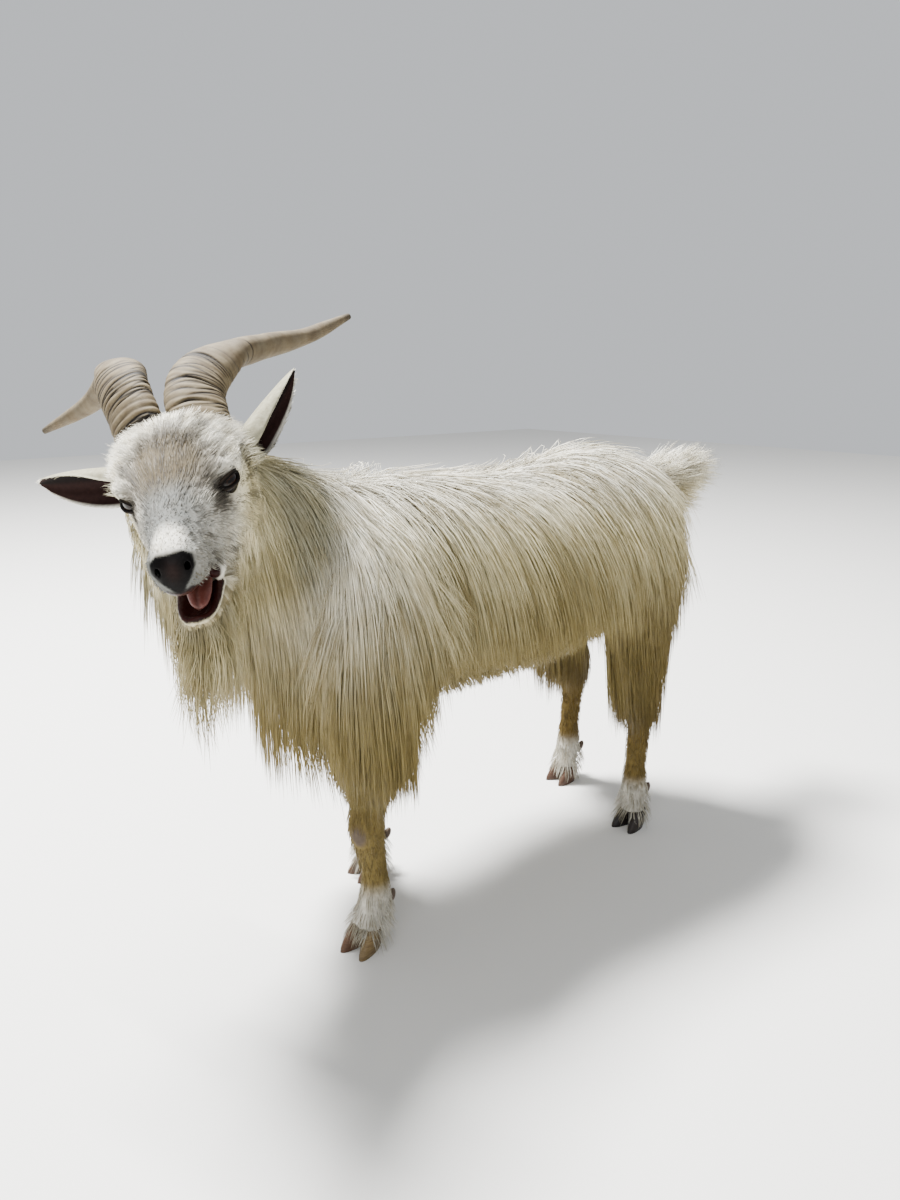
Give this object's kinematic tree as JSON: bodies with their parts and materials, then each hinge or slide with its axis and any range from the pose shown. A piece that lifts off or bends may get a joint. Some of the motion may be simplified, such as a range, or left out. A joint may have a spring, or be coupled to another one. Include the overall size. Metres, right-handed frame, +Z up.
{
  "type": "pygmy goat",
  "caption": "Long-coated pygmy goat standing with its head turned and mouth open, as a still life-size model.",
  "frame": {"origin": "middle of the bounding box, on the floor under the goat's feet", "axes": "-X from tail to breast, +Y to the goat's right, +Z up"},
  "size_m": [0.9574, 0.4516, 0.7016],
  "materials": {
    "coat": "long silky hair",
    "ear": "short soft hair",
    "horn": "ridged dry horn",
    "hoof": "worn horn",
    "tongue": "moist skin",
    "eye": "wet gloss"
  },
  "bodies": {
    "root": {"beard": "coat", "claw_foreleg_left_inner": "hoof", "claw_foreleg_left_outer": "hoof", "claw_foreleg_right_inner": "hoof", "claw_foreleg_right_outer": "hoof", "claw_hindleg_left_inner": "hoof", "claw_hindleg_left_outer": "hoof", "claw_hindleg_right_inner": "hoof", "claw_hindleg_right_outer": "hoof", "dewclaw_foreleg_left_inner": "hoof", "dewclaw_foreleg_left_outer": "hoof", "dewclaw_foreleg_right_inner": "hoof", "dewclaw_foreleg_right_outer": "hoof", "dewclaw_hindleg_left_inner": "hoof", "dewclaw_hindleg_left_outer": "hoof", "dewclaw_hindleg_right_inner": "hoof", "dewclaw_hindleg_right_outer": "hoof", "ear_left": "ear", "ear_right": "ear", "eye_left": "eye", "eye_right": "eye", "foreleg_lower_left": "coat", "foreleg_lower_right": "coat", "foreleg_upper_left": "coat", "foreleg_upper_right": "coat", "head": "coat", "hindleg_lower_left": "coat", "hindleg_lower_right": "coat", "hindleg_upper_left": "coat", "hindleg_upper_right": "coat", "horn_left": "horn", "horn_right": "horn", "lower_jaw": "coat", "neck": "coat", "tail": "coat", "tongue": "tongue", "torso": "coat"}
  },
  "joints": []
}
